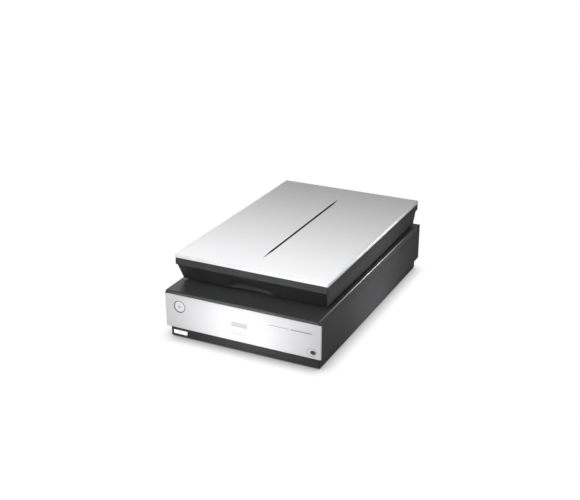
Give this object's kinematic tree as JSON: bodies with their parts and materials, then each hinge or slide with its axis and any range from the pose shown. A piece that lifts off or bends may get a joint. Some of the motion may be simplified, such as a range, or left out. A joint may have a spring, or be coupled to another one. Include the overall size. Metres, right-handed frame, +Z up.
{
  "type": "flatbed scanner",
  "caption": "Desktop flatbed scanner for documents and film: a lift-up lit lid over a glass bed, with a belt-driven scanning carriage inside the base.",
  "frame": {"origin": "centre of the footprint, on the surface that the feet stand on", "axes": "+X to the right as seen from the front, +Y to the hinged back, +Z up"},
  "size_m": [0.308, 0.503, 0.152],
  "materials": {
    "case_black": "fine moulded grain, dark grey",
    "panel_silver": "satin silver paint",
    "strip_grey": "glossy grey",
    "ring_dark": "satin dark grey",
    "button_white": "satin white",
    "lid_silver": "satin silver paint",
    "lid_black": "fine moulded grain, charcoal",
    "sheet_glass": "clear float glass",
    "film_window": "clear acrylic over a diffuser",
    "bezel_black": "satin black",
    "mat_white": "matt white",
    "rubber_black": "matt",
    "belt_rubber": "matt, toothed",
    "steel": "ground steel",
    "plated_sheet": "zinc-plated sheet steel",
    "motor_case": "plated steel can",
    "moulding_grey": "moulded black plastic",
    "acetal_white": "natural acetal",
    "brass": "turned",
    "board_green": "coated circuit board",
    "lamp_white": "coated lamp tube",
    "reflector": "bright sheet",
    "mirror": "front-silvered",
    "strip_white": "matt white",
    "ribbon": "white ribbon"
  },
  "bodies": {
    "base": {"upper_case": "case_black", "lower_case": "case_black", "case_screws": "steel", "rubber_feet": "rubber_black", "front_panel": "panel_silver", "front_strip": "strip_grey", "start_ring": "ring_dark", "button_boards": "board_green", "document_glass": "sheet_glass", "glass_bezel": "bezel_black", "calibration_strip": "strip_white", "guide_rod": "steel", "rod_clamps": "moulding_grey", "drive_belt": "belt_rubber", "idler_bracket": "plated_sheet", "tension_spring": "steel", "motor_bracket": "plated_sheet", "scan_motor": "motor_case", "main_board": "board_green", "usb_socket": "plated_sheet", "bus_socket": "plated_sheet", "lid_unit_socket": "moulding_grey", "dc_socket": "moulding_grey", "flat_cable": "ribbon", "hinge_guides": "moulding_grey"},
    "start_button": {"start_button": "button_white"},
    "power_button": {"power_button": "button_white"},
    "transport_lock": {"transport_lock": "moulding_grey"},
    "carriage": {"carriage_housing": "moulding_grey", "rod_bushings": "brass", "slide_pad": "acetal_white", "belt_clip": "moulding_grey", "scan_lamp": "lamp_white", "lamp_reflector": "reflector", "carriage_mirrors": "mirror", "lens_barrel": "brass", "sensor_board": "board_green"},
    "drive_gear": {"drive_gear": "acetal_white"},
    "motor_pinion": {"motor_pinion": "brass"},
    "idler_pulley": {"idler_pulley": "acetal_white"},
    "hinge_posts": {"hinge_post_left": "moulding_grey", "hinge_post_right": "moulding_grey"},
    "lid": {"lid_top_plate": "lid_silver", "groove_insert": "lid_black", "lid_frame": "lid_black", "lid_lower_cover": "lid_black", "film_window": "film_window", "hinge_brackets": "plated_sheet", "hinge_pins": "steel", "hinge_springs": "steel", "lid_bumpers": "rubber_black", "lid_cable_gland": "lid_black", "film_guide_rod": "steel", "film_belt": "belt_rubber", "film_motor": "motor_case"},
    "film_carriage": {"film_lamp_carriage": "moulding_grey", "film_lamp": "lamp_white"},
    "film_drive_pulley": {"film_drive_pulley": "acetal_white"},
    "film_idler_pulley": {"film_idler_pulley": "acetal_white"},
    "document_mat": {"document_mat": "mat_white"}
  },
  "joints": [
    {"name": "lid_lift", "type": "slide", "parent": "base", "child": "hinge_posts", "axis": [0, 0, 1], "range_m": [0, 0.04]},
    {"name": "lid_hinge", "type": "hinge", "parent": "hinge_posts", "child": "lid", "pos_m": [0, 0.229, 0.118], "axis": [-1, 0, 0], "range_deg": [0, 85]},
    {"name": "carriage_scan", "type": "slide", "parent": "base", "child": "carriage", "axis": [0, -1, 0], "range_m": [0, 0.3], "deforming": ["flat_cable"]},
    {"name": "drive_gear_spin", "type": "hinge", "parent": "base", "child": "drive_gear", "pos_m": [-0.1355, 0.205, 0.06], "axis": [0, 0, 1], "continuous": true},
    {"name": "motor_pinion_spin", "type": "hinge", "parent": "base", "child": "motor_pinion", "pos_m": [-0.1295, 0.21539, 0.056], "axis": [0, 0, 1], "continuous": true},
    {"name": "idler_spin", "type": "hinge", "parent": "base", "child": "idler_pulley", "pos_m": [-0.1355, -0.222, 0.063], "axis": [0, 0, 1], "continuous": true},
    {"name": "start_press", "type": "slide", "parent": "base", "child": "start_button", "axis": [0, 1, 0], "range_m": [0, 0.0015], "stiffness_N_per_m": 250, "springref_m": -0.001},
    {"name": "power_press", "type": "slide", "parent": "base", "child": "power_button", "axis": [0, 1, 0], "range_m": [0, 0.0012], "stiffness_N_per_m": 250, "springref_m": -0.001},
    {"name": "lock_slide", "type": "slide", "parent": "base", "child": "transport_lock", "axis": [0, 0, -1], "range_m": [-0.01, 0]},
    {"name": "film_lamp_scan", "type": "slide", "parent": "lid", "child": "film_carriage", "axis": [0, -1, 0], "range_m": [0, 0.25]},
    {"name": "film_drive_spin", "type": "hinge", "parent": "lid", "child": "film_drive_pulley", "pos_m": [-0.13, -0.178, 0.131], "axis": [0, 0, 1], "continuous": true},
    {"name": "film_idler_spin", "type": "hinge", "parent": "lid", "child": "film_idler_pulley", "pos_m": [-0.13, 0.16, 0.131], "axis": [0, 0, 1], "continuous": true},
    {"name": "mat_slide", "type": "slide", "parent": "lid", "child": "document_mat", "axis": [0, -1, 0], "range_m": [0, 0.008]}
  ],
  "couplings": [
    {"joint": "drive_gear_spin", "follows": "carriage_scan", "rad_per_m": -116.28},
    {"joint": "motor_pinion_spin", "follows": "carriage_scan", "rad_per_m": 348.84},
    {"joint": "idler_spin", "follows": "carriage_scan", "rad_per_m": -116.28},
    {"joint": "film_drive_spin", "follows": "film_lamp_scan", "rad_per_m": -153.85},
    {"joint": "film_idler_spin", "follows": "film_lamp_scan", "rad_per_m": -153.85}
  ]
}
